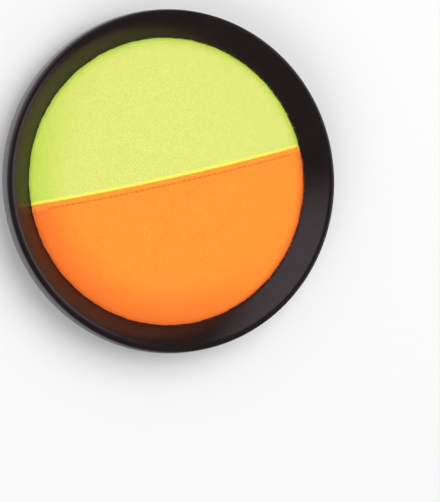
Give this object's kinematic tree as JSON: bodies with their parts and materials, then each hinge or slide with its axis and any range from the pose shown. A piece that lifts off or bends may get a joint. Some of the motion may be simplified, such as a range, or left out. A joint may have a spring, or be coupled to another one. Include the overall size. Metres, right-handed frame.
{
  "type": "hook and loop catch paddle",
  "caption": "Round shallow dish with a black rim and a two-colour hook fabric face for catching a soft ball, with a hook and loop hand strap on its back.",
  "frame": {"origin": "centre of the paddle on the surface that it lies on, under its foot ring", "axes": "+Z is the normal of the catching face, +X runs along the face's seam and along the strap towards its hinge, +Y points to the yellow half"},
  "size_m": [0.1916, 0.1916, 0.024],
  "materials": {
    "dish": "satin black moulding",
    "foam": "closed-cell foam sheet",
    "yellow_fabric": "yellow-green woven hook fabric",
    "orange_fabric": "orange woven hook fabric",
    "seam_thread": "orange sewing thread",
    "webbing": "black woven strap",
    "hook_tape": "black hook tape",
    "loop_tape": "black loop tape",
    "strap_thread": "black sewing thread",
    "rivets": "plain aluminium rivets and washers"
  },
  "bodies": {
    "paddle": {"dish": "dish", "foam_pad": "foam", "hook_face_upper": "yellow_fabric", "hook_face_lower": "orange_fabric", "seam_stitching": "seam_thread", "strap_root": "webbing", "strap_tab": "webbing", "loop_patch": "loop_tape", "loop_patch_stitching": "strap_thread", "rivet_left_lower": "rivets", "washer_left_lower": "rivets", "rivet_left_upper": "rivets", "washer_left_upper": "rivets", "rivet_right_lower": "rivets", "washer_right_lower": "rivets", "rivet_right_upper": "rivets", "washer_right_upper": "rivets"},
    "strap": {"strap_flap": "webbing"},
    "tip": {"strap_tip": "webbing", "hook_patch": "hook_tape", "hook_patch_stitching": "strap_thread"}
  },
  "joints": [
    {"name": "strap_swing", "type": "hinge", "parent": "paddle", "child": "strap", "pos_m": [0.04056, 0, 0.00662], "axis": [0, -1, 0], "range_deg": [0, 110]},
    {"name": "strap_tip_peel", "type": "hinge", "parent": "strap", "child": "tip", "pos_m": [-0.00806, 0, 0.00232], "axis": [0, -1, 0], "range_deg": [0, 115]}
  ]
}
